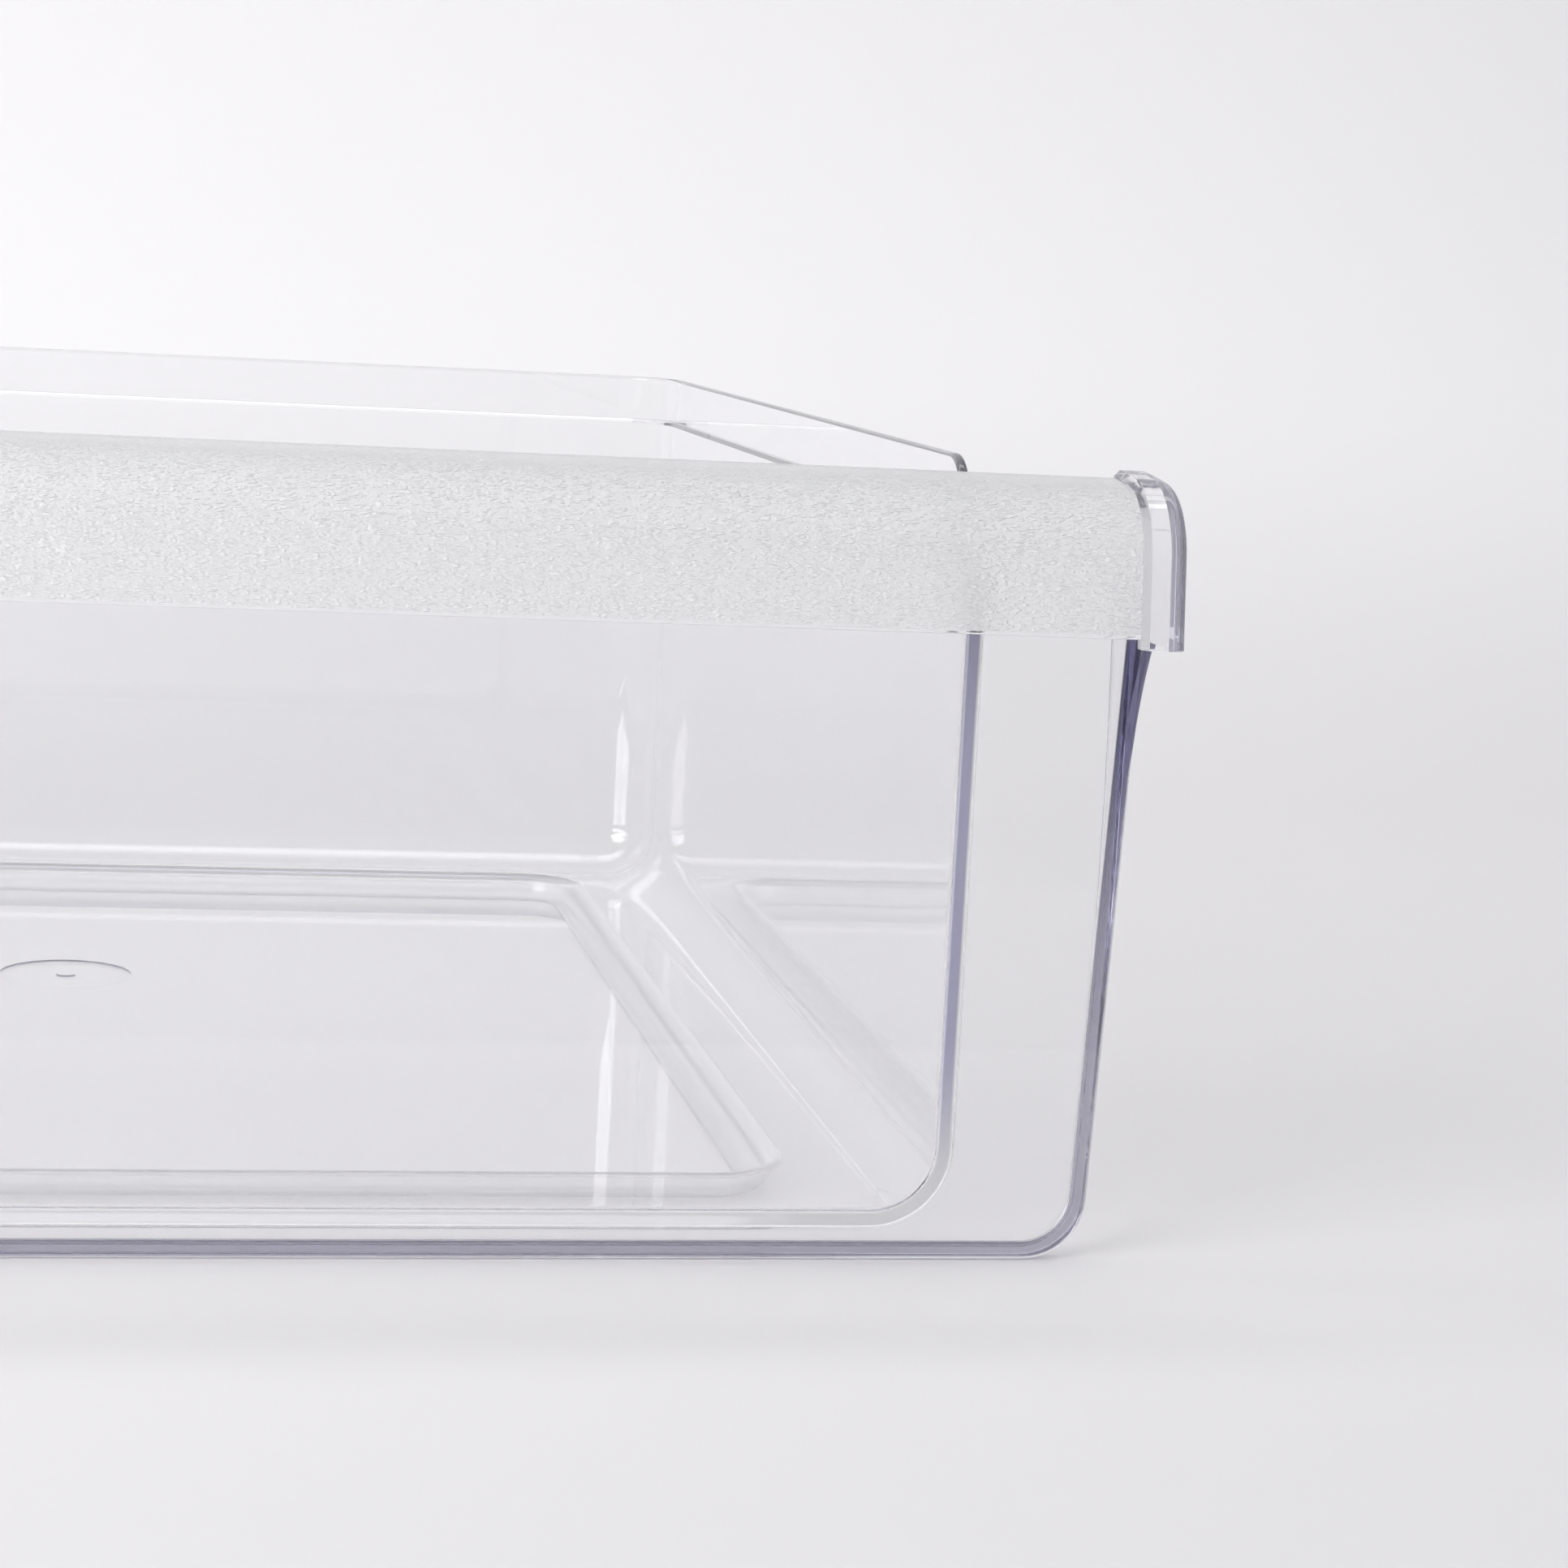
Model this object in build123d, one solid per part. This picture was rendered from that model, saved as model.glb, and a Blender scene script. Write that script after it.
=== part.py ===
from build123d import *
import math
import os

# Clear refrigerator snack pan, moulded as one piece: an open tub, a front panel wider than the tub,
# a hooded pull along the top of the panel and a rim turned back round the panel's sides and foot.
# Millimetres. The origin is on the table below the pan's middle, +Z is up and the pull faces -Y.

# Whole pan
WIDTH = 420.0  # across the pull, end band to end band
DEPTH = 421.0  # lip of the pull to the back of the tub's rim
HEIGHT = 160.0  # table to the top of the tub's rim
WALL = 2.2  # wall of the moulding

# Tub
WING = 34.0  # panel beside the tub on each side, end band to side wall
TUB_CORNER = 17.0  # outside radius of the two rear corners, seen from above
TUB_FOOT_RADIUS = 16.0  # outside radius where the walls turn into the floor
PANEL_BLEND = 1.8  # inside radius where walls and floor meet the front panel
PANEL_ROOT = 1.0  # outside radius at the same joint
RIM_BAND = 14.0  # height of the band that stands out under the rim
RIM_STEP = 1.2  # how far that band stands out
RIM_ROUND = 0.9  # rounding of the rim's two edges

# Side walls near the panel, where they stop below the pull
DROP_LENGTH = 19.0  # panel to the foot of the drop
DROP_DEPTH = 22.0  # top of the rim to the top of the lowered wall
DROP_NOSE = 11.0  # rounding at the top of the drop
DROP_HOLLOW = 5.0  # rounding at its foot

# Floor with a sunken field, which is what the pan stands on
FIELD_DROP = 6.5  # depth of the field below the ledge that runs round it
FIELD_SIDE_MARGIN = 28.0  # outside of the side walls to the field, at the ledge
FIELD_FRONT_MARGIN = 36.0  # front face of the panel to the field
FIELD_BACK_MARGIN = 20.0  # field to the back of the tub
FIELD_CORNER = 14.0
FIELD_DRAFT = 15.0  # degrees
FIELD_EDGE = 3.5  # rounding of the ledge's edge
FIELD_FOOT = 3.5  # inside radius at the foot of the step
FIELD_HOLLOW = 1.3  # bevel below the ledge's edge, on the underside
GATE_DIAMETER = 34.0  # shallow round mark where the plastic was let into the mould
GATE_SETBACK = 47.0  # mark behind the middle of the field
GATE_DEPTH = 0.4
GATE_NIB_DIAMETER = 5.0
GATE_NIB_HEIGHT = 0.3  # nib inside the mark, below the floor's level

# Front panel and the rim turned back from it
PANEL_STEP = 1.0  # end bands of the pull outside the panel's sides
PANEL_LEAN = 5.0  # how far each side leans out from the table up to the pull
PANEL_CORNER = 13.0
PANEL_EDGE = 1.0  # rounding of the panel's front edge
RETURN_DEPTH = 5.3  # front face of the panel to the edge of the rim, low down
RETURN_TOP_DEPTH = 17.5  # the same at the foot of the pull
RETURN_FLARE = 20.0  # above the table, where the rim starts to widen backwards
RETURN_EASE = 15.0  # height above the pull's foot in which it turns upright again
RETURN_BLEND = 1.8  # inside radius between panel and rim
RETURN_ROUND = 0.8  # rounding of the rim's two rear edges
RETURN_KNEE = 20.0  # radius where the leaning sides turn upright below the pull
GUSSET_HEIGHT = 28.7  # below the pull, where the sides sweep forward to it
GUSSET_REACH = 8.0  # how far forward they are where they meet the pull

# Pull
PULL_REACH = 25.0  # lip of the end bands in front of the panel
PULL_HEIGHT = 32.9  # end bands, measured at the panel's back
PULL_DROP = 0.4  # top of the end bands below the tub's rim
PULL_LEAN = 6.5  # degrees that the front leans back
PULL_RISE = 5.0  # degrees that the top rises towards the panel
PULL_ROUND = 16.0  # outside radius between front and top
STRIP_RECESS = 1.5  # grained strip, set back from the end bands
STRIP_LIFT = 1.8  # lip of the strip above the underside of the bands
BAND_WIDTH = 9.0
BAND_BEVEL = 1.3  # slope from the strip up to the band
BAND_ROUND = 3.2  # rounding of the band's outer edge
LIP_ROUND = 0.9
BACK_ROUND = 0.7  # rounding along the top of the pull, at the panel's back

LIP_Y = -DEPTH / 2
FACE_Y = LIP_Y + PULL_REACH
PANEL_BACK_Y = FACE_Y + WALL
RIM_BACK_Y = DEPTH / 2
TUB_BACK_Y = RIM_BACK_Y - RIM_STEP
PULL_TOP = HEIGHT - PULL_DROP
PULL_FOOT = PULL_TOP - PULL_HEIGHT
DROP_Z = HEIGHT - DROP_DEPTH
LEDGE_Z = FIELD_DROP
LEDGE_TOP_Z = LEDGE_Z + WALL
BAND_Z = HEIGHT - RIM_BAND
HALF_WIDTH = WIDTH / 2
TUB_HALF = HALF_WIDTH - WING
PANEL_HALF = HALF_WIDTH - PANEL_STEP
STRIP_HALF = HALF_WIDTH - BAND_WIDTH
CLEARANCE = 1.0  # how far cutting shapes run past what they cut


def seen_from_side(face, x):
    """Places a drawing made in (Y, Z) on the upright plane at x."""
    return Plane.YZ.offset(x) * face


def seen_from_front(face, y):
    """Places a drawing made in (X, Z) on the upright plane at y."""
    return Plane.XZ.offset(-y) * face


def tub_plan(outset, front_y):
    """The tub from above, square at the panel and rounded at the rear corners."""
    half = TUB_HALF + outset
    back = TUB_BACK_Y + outset
    plan = make_face(Polyline((-half, front_y), (half, front_y), (half, back), (-half, back), close=True))
    return fillet(plan.vertices().group_by(Axis.Y)[-1], TUB_CORNER + outset)


def tub_block(outset, front_y, floor_z, foot_radius, top_z):
    """Solid block of the tub's plan with its side and rear foot rounded."""
    block = extrude(Pos(0, 0, floor_z) * tub_plan(outset, front_y), top_z - floor_z)
    foot = block.edges().group_by(Axis.Z)[0].sort_by(Axis.Y)[1:]
    return fillet(foot, foot_radius)


def rim_block(outset, front_y, top_z):
    """Upper band of the tub, with a slope underneath that runs into the wall below."""
    slope = RIM_STEP + CLEARANCE / 2
    plan = tub_plan(outset, front_y)
    block = extrude(Pos(0, 0, BAND_Z - CLEARANCE / 2) * plan, top_z - BAND_Z + CLEARANCE / 2)
    underside = block.edges().group_by(Axis.Z)[0].sort_by(Axis.Y)[1:]
    return chamfer(underside, slope)


def wall_drop():
    """Cutter that lowers the side walls beside the panel, with a rounded nose and a hollow at its foot."""
    step_y = PANEL_BACK_Y + DROP_LENGTH
    over_z = HEIGHT + CLEARANCE
    nose_end_y = step_y + DROP_NOSE
    profile = make_face(
        Polyline(
            (FACE_Y - CLEARANCE, DROP_Z),
            (step_y, DROP_Z),
            (step_y, over_z),
            (FACE_Y - CLEARANCE, over_z),
            close=True,
        )
    )
    hollow = profile.vertices().sort_by_distance((step_y, DROP_Z))[0]
    profile = fillet(hollow, DROP_HOLLOW)
    nose_square = Pos(step_y, HEIGHT - DROP_NOSE) * Rectangle(
        DROP_NOSE, DROP_NOSE + CLEARANCE, align=(Align.MIN, Align.MIN)
    )
    nose = nose_square - Pos(nose_end_y, HEIGHT - DROP_NOSE) * Circle(DROP_NOSE)
    half = TUB_HALF + RIM_STEP + CLEARANCE
    return extrude(seen_from_side(profile + nose, -half), 2 * half)


def field_block(outset, top_z, foot_z, foot_radius):
    """The sunken field as a drafted block with rounded corners, its size taken at the ledge."""
    front = FACE_Y + FIELD_FRONT_MARGIN - outset
    back = TUB_BACK_Y - FIELD_BACK_MARGIN + outset
    width = 2 * (TUB_HALF - FIELD_SIDE_MARGIN + outset)
    plan = RectangleRounded(width, back - front, FIELD_CORNER + outset)
    at_ledge = Pos(0, (front + back) / 2, top_z) * plan
    block = extrude(at_ledge, top_z - foot_z, dir=(0, 0, -1), taper=FIELD_DRAFT)
    return fillet(block.edges().group_by(Axis.Z)[0], foot_radius)


def gate_mark():
    """Cutter for the shallow round mark, with a low nib left at its middle."""
    field_middle = (FACE_Y + FIELD_FRONT_MARGIN + TUB_BACK_Y - FIELD_BACK_MARGIN) / 2
    middle_y = field_middle + GATE_SETBACK
    floor_z = WALL - GATE_DEPTH
    mark = Pos(0, middle_y, floor_z) * Cylinder(
        GATE_DIAMETER / 2, GATE_DEPTH + CLEARANCE, align=(Align.CENTER, Align.CENTER, Align.MIN)
    )
    nib = Pos(0, middle_y, floor_z) * Cylinder(
        GATE_NIB_DIAMETER / 2, GATE_NIB_HEIGHT, align=(Align.CENTER, Align.CENTER, Align.MIN)
    )
    return mark - nib


def tub():
    """Open tub with stepped rim, lowered front ends of its side walls and a sunken floor."""
    outer = tub_block(0, FACE_Y, LEDGE_Z, TUB_FOOT_RADIUS, HEIGHT)
    outer += field_block(WALL, LEDGE_TOP_Z, 0, FIELD_FOOT + WALL)
    ledge_y = FACE_Y + FIELD_FRONT_MARGIN / 2
    underside = outer.faces().filter_by(Axis.Z).sort_by_distance((0, ledge_y, LEDGE_Z))[0]
    outer = chamfer(underside.inner_wires()[0].edges(), FIELD_HOLLOW)
    outer += rim_block(RIM_STEP, FACE_Y, HEIGHT)
    over = HEIGHT + CLEARANCE
    inner = tub_block(-WALL, PANEL_BACK_Y, LEDGE_TOP_Z, TUB_FOOT_RADIUS - WALL, over)
    inner = fillet(inner.faces().sort_by(Axis.Y)[0].edges().sort_by(Axis.Z)[:-1], PANEL_BLEND)
    inner += rim_block(RIM_STEP - WALL, PANEL_BACK_Y + PANEL_BLEND, over)
    shell = outer - inner - wall_drop()
    rim = shell.faces().sort_by(Axis.Z)[-1].edges()
    shell = fillet(rim.filter_by(lambda edge: edge.length > 2 * WALL), RIM_ROUND)
    shell -= field_block(0, LEDGE_TOP_Z, WALL, FIELD_FOOT)
    ledge = shell.faces().filter_by(Axis.Z).sort_by_distance((0, ledge_y, LEDGE_TOP_Z))[0]
    shell = fillet(ledge.inner_wires()[0].edges(), FIELD_EDGE)
    return shell - gate_mark()


def panel_outline(inset, top_z):
    """Front view of the panel: sides lean out to the pull, foot corners are rounded."""
    half = PANEL_HALF - inset
    foot = half - PANEL_LEAN
    outline = make_face(
        Polyline(
            (-foot, inset),
            (foot, inset),
            (half, PULL_FOOT),
            (half, top_z),
            (-half, top_z),
            (-half, PULL_FOOT),
            close=True,
        )
    )
    outline = fillet(outline.vertices().group_by(Axis.Y)[0], PANEL_CORNER - inset)
    knees = [vertex for vertex in outline.vertices() if abs(vertex.Y - PULL_FOOT) < CLEARANCE]
    return fillet(knees, RETURN_KNEE - inset)


def return_profile():
    """Side view of the rim: it widens backwards going up, and sweeps forward into the pull."""
    back_low = FACE_Y + RETURN_DEPTH
    back_high = FACE_Y + RETURN_TOP_DEPTH
    front_high = FACE_Y - GUSSET_REACH
    gusset_z = PULL_FOOT - GUSSET_HEIGHT
    under = -CLEARANCE
    over = PULL_FOOT + CLEARANCE
    flare = TangentArc((back_low, RETURN_FLARE), (back_high, PULL_FOOT), tangent=(0, 1))
    slope = flare % 1
    ease_z = PULL_FOOT + RETURN_EASE
    ease_y = back_high + RETURN_EASE * math.tan(math.atan2(slope.X, slope.Y) / 2)
    lines = [
        Line((FACE_Y, under), (back_low, under)),
        Line((back_low, under), (back_low, RETURN_FLARE)),
        flare,
        TangentArc(flare @ 1, (ease_y, ease_z), tangent=slope),
        Line((ease_y, ease_z), (ease_y, PULL_TOP)),
        Line((ease_y, PULL_TOP), (FACE_Y, PULL_TOP)),
        Line((FACE_Y, PULL_TOP), (FACE_Y, over)),
        Line((FACE_Y, over), (front_high, over)),
        TangentArc((FACE_Y, gusset_z), (front_high, over), tangent=(0, 1)),
        Line((FACE_Y, gusset_z), (FACE_Y, under)),
    ]
    return make_face(lines)


def front_panel():
    """Panel with its rim turned back along the sides and foot, hollowed from a block on both faces."""
    top_z = strip_top_z() - WALL
    front_y = FACE_Y - GUSSET_REACH
    back_y = FACE_Y + RETURN_TOP_DEPTH + RETURN_EASE
    block = extrude(seen_from_front(panel_outline(0, top_z), back_y), back_y - front_y)
    inside = panel_outline(WALL, top_z + CLEARANCE)
    behind = extrude(seen_from_front(inside, back_y + CLEARANCE), back_y + CLEARANCE - PANEL_BACK_Y)
    root = behind.faces().sort_by(Axis.Y)[0].edges().sort_by(Axis.Z)[:-1]
    behind = fillet(root, RETURN_BLEND)
    before = extrude(seen_from_front(inside, FACE_Y), GUSSET_REACH + CLEARANCE)
    keep = extrude(seen_from_side(return_profile(), -HALF_WIDTH - CLEARANCE), WIDTH + 2 * CLEARANCE)
    panel = (block - behind - before) & keep
    foot_edge = panel.edges().filter_by(Axis.X).sort_by_distance((0, FACE_Y, 0))[0]
    panel = fillet(foot_edge, PANEL_EDGE)
    rear_y = FACE_Y + RETURN_DEPTH
    rear_edges = panel.edges().filter_by(Axis.X).filter_by_position(Axis.Y, rear_y, rear_y)
    return fillet(rear_edges.filter_by_position(Axis.Z, 0, WALL), RETURN_ROUND)


def pull_section(inset, foot_z, back_y):
    """Side view of the pull: a front that leans back, a top that rises, rounded where they meet."""
    lean = math.radians(PULL_LEAN)
    rise = math.radians(PULL_RISE)
    front_offset = -math.cos(lean) * LIP_Y + math.sin(lean) * PULL_FOOT - inset
    top_offset = -math.sin(rise) * PANEL_BACK_Y + math.cos(rise) * PULL_TOP - inset
    spread = math.cos(lean + rise)
    brow_y = (math.sin(lean) * top_offset - math.cos(rise) * front_offset) / spread
    brow_z = (math.cos(lean) * top_offset - math.sin(rise) * front_offset) / spread
    foot_y = (math.sin(lean) * foot_z - front_offset) / math.cos(lean)
    back_z = (top_offset + math.sin(rise) * back_y) / math.cos(rise)
    section = make_face(
        Polyline((foot_y, foot_z), (brow_y, brow_z), (back_y, back_z), (back_y, foot_z), close=True)
    )
    brow = section.vertices().sort_by_distance((brow_y, brow_z))[0]
    return fillet(brow, PULL_ROUND - inset)


def strip_top_z():
    """Height of the grained strip's top at the back of the panel."""
    return PULL_TOP - STRIP_RECESS / math.cos(math.radians(PULL_RISE))


def end_band():
    """Raised end of the pull on the right: bevelled towards the strip and rounded outside."""
    block = extrude(seen_from_side(pull_section(0, PULL_FOOT, PANEL_BACK_Y), STRIP_HALF), BAND_WIDTH)
    inner_side = block.faces().sort_by(Axis.X)[0].edges().sort_by(Axis.Y)
    skin = [edge for edge in inner_side if edge.center().Z > PULL_FOOT + CLEARANCE][:3]
    block = chamfer(skin, BAND_BEVEL)
    outer_side = block.faces().sort_by(Axis.X)[-1].edges().sort_by(Axis.Y)
    skin = [edge for edge in outer_side if edge.center().Z > PULL_FOOT + CLEARANCE][:3]
    return fillet(skin, BAND_ROUND)


def pull():
    """Hooded pull: grained strip between two raised end bands, hollow behind for the fingers."""
    strip_section = pull_section(STRIP_RECESS, PULL_FOOT + STRIP_LIFT, PANEL_BACK_Y)
    body = extrude(seen_from_side(strip_section, -STRIP_HALF - CLEARANCE), 2 * (STRIP_HALF + CLEARANCE))
    right = end_band()
    body += right
    body += mirror(right, Plane.YZ)
    hollow = pull_section(STRIP_RECESS + WALL, PULL_FOOT - CLEARANCE, FACE_Y)
    inner_half = PANEL_HALF - WALL
    body -= extrude(seen_from_side(hollow, -inner_half), 2 * inner_half)
    lip_z = PULL_FOOT + STRIP_LIFT
    lip = [edge for edge in body.edges().filter_by(Axis.X) if abs(edge.center().Z - lip_z) < LIP_ROUND / 2]
    long_lip = [edge for edge in lip if edge.length > STRIP_HALF and edge.center().Y < FACE_Y - WALL]
    return fillet(long_lip, LIP_ROUND)


def snack_pan():
    """The whole moulding as one solid, rounded where the tub's outside meets the panel."""
    pan = tub() + front_panel() + pull()
    root = pan.edges().filter_by(Axis.X).sort_by_distance((0, PANEL_BACK_Y, LEDGE_Z))[0]
    pan = fillet(root, PANEL_ROOT)
    back = pan.edges().filter_by(Axis.X).filter_by_position(Axis.Y, PANEL_BACK_Y, PANEL_BACK_Y)
    top = back.filter_by_position(Axis.Z, strip_top_z(), HEIGHT).sort_by(Edge.length)[-1]
    return fillet(top, BACK_ROUND)


os.makedirs("parts", exist_ok=True)
export_step(snack_pan(), "parts/snack_pan.step")
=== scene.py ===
# %% [markdown]
# # A clear refrigerator snack pan
# The pan is one moulding of clear, faintly violet plastic: an open tub, a wide front panel and a hooded pull
# whose top carries a fine leather grain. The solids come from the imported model, in metres, with the pull
# facing -Y, and this lesson gives them their finish, a studio and a camera.

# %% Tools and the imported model
import math

import bmesh
import bpy
import numpy as np
from mathutils import Matrix, Vector


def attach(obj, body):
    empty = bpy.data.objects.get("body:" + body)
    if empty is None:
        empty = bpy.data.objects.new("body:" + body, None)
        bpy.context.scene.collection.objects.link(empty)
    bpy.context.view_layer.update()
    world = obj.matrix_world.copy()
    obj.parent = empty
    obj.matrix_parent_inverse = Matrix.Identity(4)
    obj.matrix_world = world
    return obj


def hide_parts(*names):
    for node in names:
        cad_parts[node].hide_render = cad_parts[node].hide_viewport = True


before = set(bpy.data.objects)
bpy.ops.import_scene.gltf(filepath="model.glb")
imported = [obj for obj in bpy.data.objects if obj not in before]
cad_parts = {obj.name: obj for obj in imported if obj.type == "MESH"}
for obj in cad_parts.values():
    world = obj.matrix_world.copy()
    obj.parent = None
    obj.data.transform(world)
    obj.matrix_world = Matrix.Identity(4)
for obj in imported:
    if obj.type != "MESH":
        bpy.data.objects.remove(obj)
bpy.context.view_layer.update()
MM = 0.001

# %% [markdown]
# ## The moulding
# Light has to enter the plastic once and leave it once, so the whole pan must be one closed skin: walls that
# merely touch would show as seams inside the clear plastic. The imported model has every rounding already, but its
# triangles are loose. A copy is welded, flat areas are joined into single faces, and the skin is parted along
# its creases. Each point then takes its normal from the largest face around it, so that flats stay flat and
# roundings look round: a tilt too small to see on paint shows as a dark wedge in clear plastic.

# %% Welded copy of the moulding
WELD = 0.002 * MM
FLAT = math.radians(0.2)
CREASE = math.radians(38)


def read(items, name, width=1):
    """A property of mesh items as an array, one row per item."""
    values = np.empty(len(items) * width)
    items.foreach_get(name, values)
    return values.reshape(-1, width) if width > 1 else values


def area_normals(mesh):
    """Normal of each point: the sum over its faces of the face's normal times the square of its area."""
    weighted = read(mesh.polygons, "normal", 3) * read(mesh.polygons, "area")[:, None] ** 2
    corners = read(mesh.polygons, "loop_total").astype(int)
    points = read(mesh.loops, "vertex_index").astype(int)
    total = np.zeros((len(mesh.vertices), 3))
    np.add.at(total, points, np.repeat(weighted, corners, axis=0))
    return total / np.linalg.norm(total, axis=1, keepdims=True)


def welded_copy(node, name):
    """A node's loose triangles as one skin: equal points joined, coplanar triangles dissolved, creases parted."""
    mesh = node.data.copy()
    mesh.name = name
    mesh.materials.clear()
    skin = bmesh.new()
    skin.from_mesh(mesh)
    bmesh.ops.remove_doubles(skin, verts=skin.verts, dist=WELD)
    bmesh.ops.dissolve_limit(skin, angle_limit=FLAT, verts=skin.verts, edges=skin.edges, delimit=set())
    open_edges = sum(not edge.is_manifold for edge in skin.edges)
    creases = [edge for edge in skin.edges if edge.calc_face_angle(0.0) > CREASE]
    bmesh.ops.split_edges(skin, edges=creases)
    skin.to_mesh(mesh)
    skin.free()
    mesh.polygons.foreach_set("use_smooth", np.ones(len(mesh.polygons), dtype=bool))
    mesh.normals_split_custom_set_from_vertices(area_normals(mesh))
    piece = bpy.data.objects.new(name, mesh)
    bpy.context.scene.collection.objects.link(piece)
    print(name, len(mesh.polygons), "faces,", open_edges, "open edges before", len(creases), "creases were parted")
    return piece


moulding = welded_copy(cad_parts["snack_pan"], "pan_moulding")
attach(moulding, "root")
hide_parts("snack_pan")

# %% [markdown]
# ## Where the grain lies
# The grain covers the outer skin of the pull between the two smooth end bands, and stops just short of the
# lip. A number on every face, 1 on the grained skin and 0 elsewhere, tells the material where it is. It is worked
# out from where each face is and which way it looks.

# %% Grain marked on the faces
GRAIN_HALF = 200.5 * MM
GRAIN_FOOT = 129.3 * MM
GRAIN_BACK = -184.0 * MM


def mark_grain(mesh):
    """1 on faces between the bands, above the lip, in front of the panel's back, that look up or forward."""
    centre = read(mesh.polygons, "center", 3)
    normal = read(mesh.polygons, "normal", 3)
    across = np.abs(centre[:, 0]) < GRAIN_HALF
    upper = (centre[:, 2] > GRAIN_FOOT) & (centre[:, 1] < GRAIN_BACK)
    outside = (normal[:, 2] - normal[:, 1] > 0.8) & (np.abs(normal[:, 0]) < 0.2)
    grained = (across & upper & outside).astype(np.float32)
    mark = mesh.attributes.new("grain", "FLOAT", "FACE")
    mark.data.foreach_set("value", grained)
    print("grained faces:", int(grained.sum()), "of", len(grained))


mark_grain(moulding.data)

# %% [markdown]
# ## Shader maths
# A small wrapper lets the material be written as sums: operators on a wrapped socket add Math nodes, and one
# method makes any other node.


# %% Socket wrapper
class Socket:
    """A node's output. Operators on it make Math nodes, and node() makes any other kind."""

    def __init__(self, tree, link):
        self.tree = tree
        self.link = link

    @staticmethod
    def node(tree, kind, settings=None, sockets=None, output=0):
        """Makes a node, applies its settings, then fills its sockets with values or links."""
        made = tree.nodes.new(kind)
        for key, value in (settings or {}).items():
            setattr(made, key, value)
        for key, value in (sockets or {}).items():
            if isinstance(value, Socket):
                tree.links.new(value.link, made.inputs[key])
            else:
                made.inputs[key].default_value = value
        if output is None:
            return {socket.name: Socket(tree, socket) for socket in made.outputs}
        return Socket(tree, made.outputs[output])

    def math(self, operation, *values):
        return Socket.node(self.tree, "ShaderNodeMath", {"operation": operation}, dict(enumerate(values)))

    def __add__(self, other):
        return self.math("ADD", self, other)

    def __sub__(self, other):
        return self.math("SUBTRACT", self, other)

    def __rsub__(self, other):
        return self.math("SUBTRACT", other, self)

    def __mul__(self, other):
        return self.math("MULTIPLY", self, other)

    def __pow__(self, other):
        return self.math("POWER", self, other)

    def __abs__(self):
        return self.math("ABSOLUTE", self)

    __radd__ = __add__
    __rmul__ = __mul__


def new_tree(owner):
    """An empty node tree on a material or world, with its output node."""
    owner.use_nodes = True
    owner.node_tree.nodes.clear()
    kind = "ShaderNodeOutputWorld" if isinstance(owner, bpy.types.World) else "ShaderNodeOutputMaterial"
    return owner.node_tree, owner.node_tree.nodes.new(kind)


# %% [markdown]
# ## Clear plastic
# The plastic is a clear styrene with a trace of violet toner, which shows only where light has run a long way
# inside it. Absorption in the volume tints every edge a little. The rim round the panel is seen end on, with up
# to two centimetres of plastic behind its narrow front, so that strip of the skin gets a painted violet shade of
# its own, darker the higher it is, in place of the light lost along that plastic, and the nose at each end of the
# pull gets the same painted shade. The strip is found by the distance to the panel's outline. The tub's walls
# are seen end on in the same way, and there a pale violet diffuse is mixed in as painted light, in place of the
# light scattered inside them; the field's step gets the same painted pale light. The grain is a bump of wavy
# wrinkles on a rougher, frosted surface, with painted shade in its creases.

# %% Clear plastic material
PLASTIC_IOR = 1.57
CLARITY = 0.96
TONER_COLOUR = (0.55, 0.53, 0.80, 1.0)
TONER_DENSITY = 9.0
GRAIN_ROUGHNESS = 0.30
WRINKLES = (560.0, 1500.0, 1500.0)
WRINKLE_DEPTH = 0.26 * MM
# Painted shade in the grain's creases.
WRINKLE_SHADE = 0.11
GRAIN_SCATTER = 0.52
FRONT_SKIN = -185.1 * MM
PULL_FOOT = 126.7 * MM
RIM_OUTLINE = {"half": 204.0 * MM, "lean": 5.0 / 126.7, "foot": 0.0, "corner": 13.0 * MM}
RIM_BAND = 3.6 * MM
TUB_OUTLINE = {"half": 175.6 * MM, "lean": 0.0, "foot": 6.9 * MM, "corner": 15.6 * MM}
TUB_BAND = 2.7 * MM
TUB_EDGE = 0.6 * MM
FIELD_OUTLINE = {"half": 147.6 * MM, "middle": 19.9 * MM, "reach": 169.4 * MM, "corner": 14.0 * MM}
# Band along the field's step that gets painted pale light.
STEP_OUT = 3.2 * MM
STEP_IN = 4.2 * MM
STEP_SOFT = 0.8 * MM
STEP_LIGHT_SHARE = 0.35
SOFT = 0.4 * MM
# Painted shade: the toner's violet, darker upward, on the rim's front band and on the nose at each end.
NOSE_SIDE = 208.4 * MM
NOSE_SOFT = 0.7 * MM
NOSE_SHADE = 0.8
SHALLOW_VIOLET_SHADE = (0.30, 0.29, 0.38, 1.0)
DEEP_VIOLET_SHADE = (0.03, 0.028, 0.075, 1.0)
# Painted light: a pale diffuse, violet higher up, mixed in where the tub's walls meet the panel and along the
# field's step.
PALE_PAINTED_LIGHT = (0.95, 0.95, 0.96, 1.0)
VIOLET_PAINTED_LIGHT = (0.50, 0.49, 0.67, 1.0)
JOINT_LIGHT_SHARE = 0.6


def ramp(value, low, high):
    """0 below low, 1 above high, smooth between."""
    sockets = {"Value": value, "From Min": low, "From Max": high}
    return Socket.node(value.tree, "ShaderNodeMapRange", {"interpolation_type": "SMOOTHSTEP"}, sockets)


def mix_colour(tree, factor, first, second):
    """First colour where the factor is 0, second where it is 1."""
    sockets = {"Factor": factor, 6: first, 7: second}
    return Socket.node(tree, "ShaderNodeMix", {"data_type": "RGBA"}, sockets, output=2)


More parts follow.
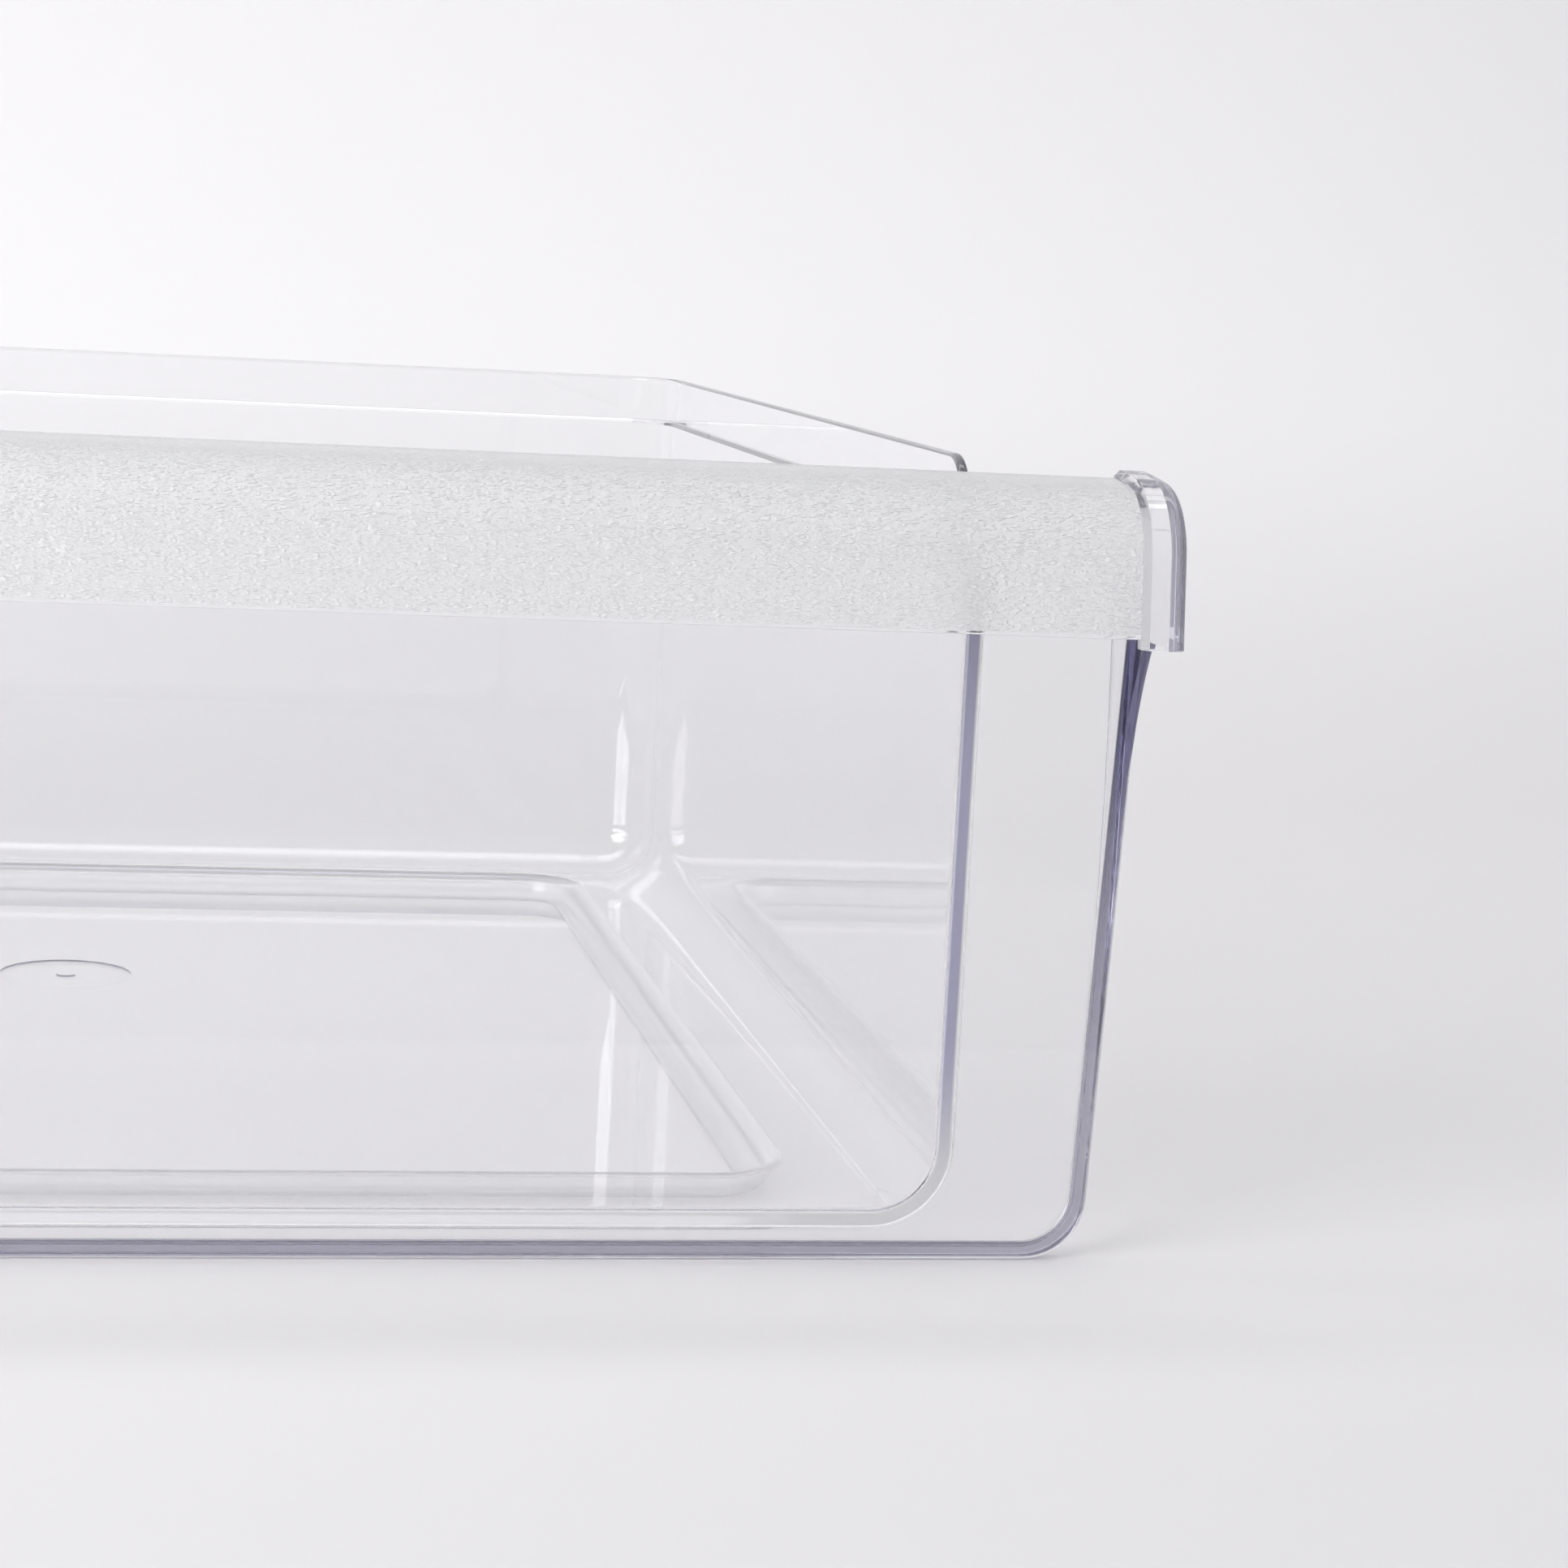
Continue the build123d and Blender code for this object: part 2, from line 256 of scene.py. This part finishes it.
def inside_corner(side, end, corner):
    """Distance inwards from two edges with a rounded corner, from the places past the corner's centre."""
    round_part = (side.math("MAXIMUM", side, 0.0) ** 2.0 + end.math("MAXIMUM", end, 0.0) ** 2.0) ** 0.5
    straight_part = side.math("MINIMUM", side.math("MAXIMUM", side, end), 0.0)
    return corner - round_part - straight_part


def inside_outline(x, z, half, lean, foot, corner):
    """Distance inwards from an outline seen from the front: leaning sides, a level foot, rounded foot corners."""
    return inside_corner(abs(x) - (half + z * lean) + corner, corner + foot - z, corner)


def inside_field(x, y, half, middle, reach, corner):
    """Distance inwards from the field's outline, seen from above: a rectangle with rounded corners."""
    return inside_corner(abs(x) - half + corner, abs(y - middle) - reach + corner, corner)


def band(inside, width):
    """1 from the outline inwards to a width, 0 elsewhere, soft at both limits."""
    return ramp(inside, -SOFT, 0.0) * ramp(width - inside, -SOFT, 0.0)


def clear_plastic():
    """Glass-like shader: painted shade of the toner's tint on the panel's edge band and the ends' front faces,
    painted pale light where the tub's walls meet the panel and on the field's step, a rough frosted wrinkled grain
    with painted shade in its creases.
    """
    material = bpy.data.materials.new("clear_plastic")
    tree, output = new_tree(material)
    grain = Socket.node(tree, "ShaderNodeAttribute", {"attribute_name": "grain"}, output="Fac")
    place = Socket.node(tree, "ShaderNodeTexCoord", output="Object")
    axis = Socket.node(tree, "ShaderNodeSeparateXYZ", None, {"Vector": place}, output=None)
    stretched = Socket.node(tree, "ShaderNodeVectorMath", {"operation": "MULTIPLY"}, {0: place, 1: WRINKLES})
    folds = Socket.node(tree, "ShaderNodeTexNoise", None, {"Vector": stretched, "Scale": 1.0, "Detail": 2.0})
    ridge = ramp(abs(folds - 0.5), 0.0, 0.25)
    bump = Socket.node(
        tree,
        "ShaderNodeBump",
        None,
        {"Strength": 1.0, "Distance": WRINKLE_DEPTH, "Height": ridge * grain},
        output="Normal",
    )
    panel_front = ramp(FRONT_SKIN - axis["Y"], 0.0, SOFT) * ramp(PULL_FOOT - axis["Z"], 0.0, SOFT)
    # Painted shade on the rim band, found by the distance to the panel's outline.
    rim_shade = band(inside_outline(axis["X"], axis["Z"], **RIM_OUTLINE), RIM_BAND) * panel_front
    inside_tub = inside_outline(axis["X"], axis["Z"], **TUB_OUTLINE)
    joint_light = band(inside_tub, TUB_BAND) * panel_front
    in_field = inside_field(axis["X"], axis["Y"], **FIELD_OUTLINE)
    # Painted pale light along the field's step.
    step = ramp(in_field, -STEP_OUT - STEP_SOFT, -STEP_OUT) * ramp(STEP_IN + STEP_SOFT - in_field, 0.0, STEP_SOFT)
    normal = Socket.node(tree, "ShaderNodeNewGeometry", output="Normal")
    turned = Socket.node(tree, "ShaderNodeSeparateXYZ", None, {"Vector": normal}, output=None)
    # Painted shade on the front-facing nose at each end, above the pull's foot.
    outer = ramp(abs(axis["X"]), NOSE_SIDE - NOSE_SOFT, NOSE_SIDE) * ramp(axis["Z"] - PULL_FOOT, 0.0, SOFT)
    nose_shade = outer * ramp(0.0 - turned["Y"], 0.05, 0.35) * NOSE_SHADE
    # Painted shade: the toner's violet, darker the higher it is.
    violet_shade = mix_colour(tree, ramp(axis["Z"], 0.02, 0.11), SHALLOW_VIOLET_SHADE, DEEP_VIOLET_SHADE)
    # Painted shade: the grain's creases darkened.
    crease_shade = (1.0 - ridge) * grain * WRINKLE_SHADE
    skin = mix_colour(tree, crease_shade, (1.0, 1.0, 1.0, 1.0), (0.0, 0.0, 0.0, 1.0))
    # The skin takes the painted violet shade on the rim band and the noses.
    colour = mix_colour(tree, rim_shade + nose_shade, skin, violet_shade)
    surface = Socket.node(
        tree,
        "ShaderNodeBsdfPrincipled",
        None,
        {
            "Base Color": colour,
            "Roughness": grain * GRAIN_ROUGHNESS,
            "IOR": PLASTIC_IOR,
            "Transmission Weight": CLARITY,
            "Normal": bump,
        },
        output="BSDF",
    )
    # Painted light where the tub's walls meet the panel: pale low down, violet higher up.
    joint_depth = ramp(axis["Z"], 0.01, 0.045) * ramp(inside_tub, TUB_EDGE - SOFT, TUB_EDGE)
    painted_light_colour = mix_colour(tree, joint_depth, PALE_PAINTED_LIGHT, VIOLET_PAINTED_LIGHT)
    # Diffuse colour: the painted light colour off the grain, the crease-shaded skin on it.
    frost_and_light_colour = mix_colour(tree, grain, painted_light_colour, skin)
    frost_and_painted_light = Socket.node(
        tree,
        "ShaderNodeBsdfPrincipled",
        None,
        {"Base Color": frost_and_light_colour, "Roughness": 0.4, "Normal": bump},
        output="BSDF",
    )
    # Share of the diffuse: frosting on the grain, painted light on the joint and on the field's step.
    frost_and_light_share = joint_light * JOINT_LIGHT_SHARE + grain * GRAIN_SCATTER + step * STEP_LIGHT_SHARE
    surface = Socket.node(tree, "ShaderNodeMixShader", None, {"Fac": frost_and_light_share, 1: surface, 2: frost_and_painted_light})
    toner = Socket.node(
        tree,
        "ShaderNodeVolumeAbsorption",
        None,
        {"Color": TONER_COLOUR, "Density": TONER_DENSITY},
        output="Volume",
    )
    tree.links.new(surface.link, output.inputs["Surface"])
    tree.links.new(toner.link, output.inputs["Volume"])
    return material


moulding.data.materials.append(clear_plastic())
print("clear plastic, index", PLASTIC_IOR)

# %% [markdown]
# ## Studio
# Clear plastic is seen by what stands around it, so the studio matters as much as the material. A pale sweep,
# flat under the pan and curved up behind it, gives the even white ground; its wall is painted paler than its
# floor, as painted light. It could be a bent plane with a bevel. Here it is a profile carried across, because
# the bend is then one formula. From its back it is clear, so that the pan can be looked at from every side.
# Reflections see it only as far as a table would reach.

# %% Sweep
SWEEP_FRONT = -0.6
SWEEP_BEND = 0.42
SWEEP_RADIUS = 0.35
SWEEP_TOP = 1.6
SWEEP_HALF = 0.85
SWEEP_GAP = 0.3 * MM


def grid_mesh(name, points):
    """Mesh of a grid of points given as an array of rows, columns and coordinates."""
    rows, columns = points.shape[:2]
    index = np.arange(rows * columns).reshape(rows, columns)
    quads = np.stack([index[:-1, :-1], index[:-1, 1:], index[1:, 1:], index[1:, :-1]], axis=-1)
    mesh = bpy.data.meshes.new(name)
    mesh.from_pydata(points.reshape(-1, 3).tolist(), [], quads.reshape(-1, 4).tolist())
    mesh.polygons.foreach_set("use_smooth", np.ones(len(mesh.polygons), dtype=bool))
    return mesh


def sweep():
    """A profile carried across: level floor, a quarter circle, then an upright wall."""
    turn = np.linspace(0, math.pi / 2, 33)
    bend_y = SWEEP_BEND + SWEEP_RADIUS * np.sin(turn)
    bend_z = SWEEP_RADIUS * (1 - np.cos(turn))
    y = np.concatenate([[SWEEP_FRONT], bend_y, [bend_y[-1]]])
    z = np.concatenate([[0.0], bend_z, [SWEEP_TOP]]) - SWEEP_GAP
    x = np.array([-SWEEP_HALF, SWEEP_HALF])
    points = np.empty((len(y), 2, 3))
    points[:, :, 0] = x
    points[:, :, 1] = y[:, None]
    points[:, :, 2] = z[:, None]
    mesh = grid_mesh("sweep", points)
    return bpy.data.objects.new("sweep", mesh)


# Painted light: the paper turns paler from the floor up the wall, over the first 0.15 m of height.
FLOOR_COLOUR = (0.80, 0.79, 0.80, 1.0)
WALL_WITH_PAINTED_LIGHT = (0.90, 0.89, 0.90, 1.0)
TABLE_EDGE = -0.37


def sweep_paper():
    """Matt pale paper, painted paler up the wall as painted light, clear from its back and, to reflections, in
    front of the table's edge.
    """
    material = bpy.data.materials.new("sweep_paper")
    tree, output = new_tree(material)
    place = Socket.node(tree, "ShaderNodeTexCoord", output="Object")
    axis = Socket.node(tree, "ShaderNodeSeparateXYZ", None, {"Vector": place}, output=None)
    colour = mix_colour(tree, ramp(axis["Z"], 0.0, 0.15), FLOOR_COLOUR, WALL_WITH_PAINTED_LIGHT)
    matt = {"Base Color": colour, "Roughness": 1.0, "Specular IOR Level": 0.0}
    paper = Socket.node(tree, "ShaderNodeBsdfPrincipled", None, matt)
    clear = Socket.node(tree, "ShaderNodeBsdfTransparent", output="BSDF")
    back = Socket.node(tree, "ShaderNodeNewGeometry", output="Backfacing")
    ray = Socket.node(tree, "ShaderNodeLightPath", output=None)
    reflected = ray["Is Glossy Ray"] * (1.0 - ray["Is Transmission Ray"])
    off_table = reflected * ramp(TABLE_EDGE - axis["Y"], 0.0, 0.01)
    unseen = back.math("MAXIMUM", back, off_table)
    seen = Socket.node(tree, "ShaderNodeMixShader", None, {"Fac": unseen, 1: paper, 2: clear})
    tree.links.new(seen.link, output.inputs["Surface"])
    return material


backdrop = sweep()
bpy.context.scene.collection.objects.link(backdrop)
backdrop.data.materials.append(sweep_paper())
print("sweep:", len(backdrop.data.polygons), "faces, wall", round(SWEEP_BEND + SWEEP_RADIUS, 2), "m behind")

# %% [markdown]
# ## Light
# Small lamps would leave hard sparks in clear plastic, so most of the light comes from the room itself, a little
# brighter above and behind. A long soft lamp washes the wall of the sweep, which the pan is seen against, and a
# large one at the front left lights the pull. Light bends at every wall it meets, so many bounces are allowed.

# %% Lamps and surrounding light
ROOM_COLOUR = (0.98, 0.98, 1.0, 1.0)
ROOM_NEAR = 0.45
ROOM_FAR = 0.6
ROOM_ABOVE = 0.6
BACKGROUND = 0.8


def soft_lamp(name, place, aim, width, height, power):
    """A rectangular lamp at a place, turned to face a point."""
    lamp = bpy.data.lights.new(name, "AREA")
    lamp.shape = "RECTANGLE"
    lamp.size = width
    lamp.size_y = height
    lamp.energy = power
    holder = bpy.data.objects.new(name, lamp)
    holder.location = place
    holder.rotation_euler = (Vector(aim) - Vector(place)).to_track_quat("-Z", "Y").to_euler()
    bpy.context.scene.collection.objects.link(holder)
    return holder


soft_lamp("lamp_wall", (0.1, 0.1, 1.3), (0.15, 0.77, 0.45), 2.2, 0.3, 5.5)
soft_lamp("lamp_front_left", (-0.95, -0.95, 0.6), (0.0, 0.0, 0.1), 0.9, 1.0, 14.0)


def surrounding_light():
    """Room light by direction, and an even pale tone wherever the room itself is seen."""
    world = bpy.data.worlds.new("room")
    tree, output = new_tree(world)
    facing = Socket.node(tree, "ShaderNodeTexCoord", output="Generated")
    parts = Socket.node(tree, "ShaderNodeSeparateXYZ", None, {"Vector": facing}, output=None)
    behind = Socket.node(
        tree,
        "ShaderNodeMapRange",
        {"interpolation_type": "SMOOTHSTEP"},
        {"Value": parts["Y"], "From Min": -0.75, "From Max": 0.35, "To Min": ROOM_NEAR, "To Max": ROOM_FAR},
    )
    overhead = Socket.node(
        tree,
        "ShaderNodeMapRange",
        {"interpolation_type": "SMOOTHSTEP"},
        {"Value": parts["Z"], "From Min": 0.1, "From Max": 0.9, "To Min": 0.0, "To Max": 1.0},
    )
    room = behind + overhead * (ROOM_ABOVE - behind)
    seen = Socket.node(tree, "ShaderNodeLightPath", output="Is Camera Ray")
    strength = room + seen * (BACKGROUND - room)
    glow = Socket.node(tree, "ShaderNodeBackground", None, {"Color": ROOM_COLOUR, "Strength": strength})
    tree.links.new(glow.link, output.inputs["Surface"])
    return world


bpy.context.scene.world = surrounding_light()
BOUNCES = 16
for limit in ("max_bounces", "glossy_bounces", "transmission_bounces"):
    setattr(bpy.context.scene.cycles, limit, BOUNCES)
bpy.context.scene.cycles.blur_glossy = 0.0
bpy.context.scene.view_settings.view_transform = "Standard"

# %% [markdown]
# ## Camera
# The photograph looks at the right end of the front from just above the rim, slightly turned and tilted. Its
# place, turn and lens were found by matching edges of the pan with their places in the picture.

# %% Camera
CAMERA_PLACE = Vector((1.9, -851.6, 196.8)) * MM
CAMERA_YAW = math.radians(10.31)
CAMERA_PITCH = math.radians(5.47)
CAMERA_ROLL = math.radians(3.04)
CAMERA_LENS = 80.43
CAMERA_SHIFT = (0.04, -0.12)


def camera_axes(yaw, pitch, roll):
    """Right, up and backward directions: turned right by yaw, down by pitch, then rolled."""
    ahead = Vector((math.sin(yaw) * math.cos(pitch), math.cos(yaw) * math.cos(pitch), -math.sin(pitch)))
    level = Vector((math.cos(yaw), -math.sin(yaw), 0.0))
    upward = level.cross(ahead)
    right = math.cos(roll) * level + math.sin(roll) * upward
    up = math.cos(roll) * upward - math.sin(roll) * level
    return right, up, -ahead


camera = bpy.data.objects.new("camera", bpy.data.cameras.new("camera"))
bpy.context.scene.collection.objects.link(camera)
axes = Matrix(camera_axes(CAMERA_YAW, CAMERA_PITCH, CAMERA_ROLL)).transposed().to_4x4()
camera.matrix_world = Matrix.Translation(CAMERA_PLACE) @ axes
camera.data.lens = CAMERA_LENS
camera.data.sensor_width = 36.0
camera.data.shift_x, camera.data.shift_y = CAMERA_SHIFT
bpy.context.scene.camera = camera
print("camera at", [round(value, 3) for value in CAMERA_PLACE], "m, lens", CAMERA_LENS, "mm")
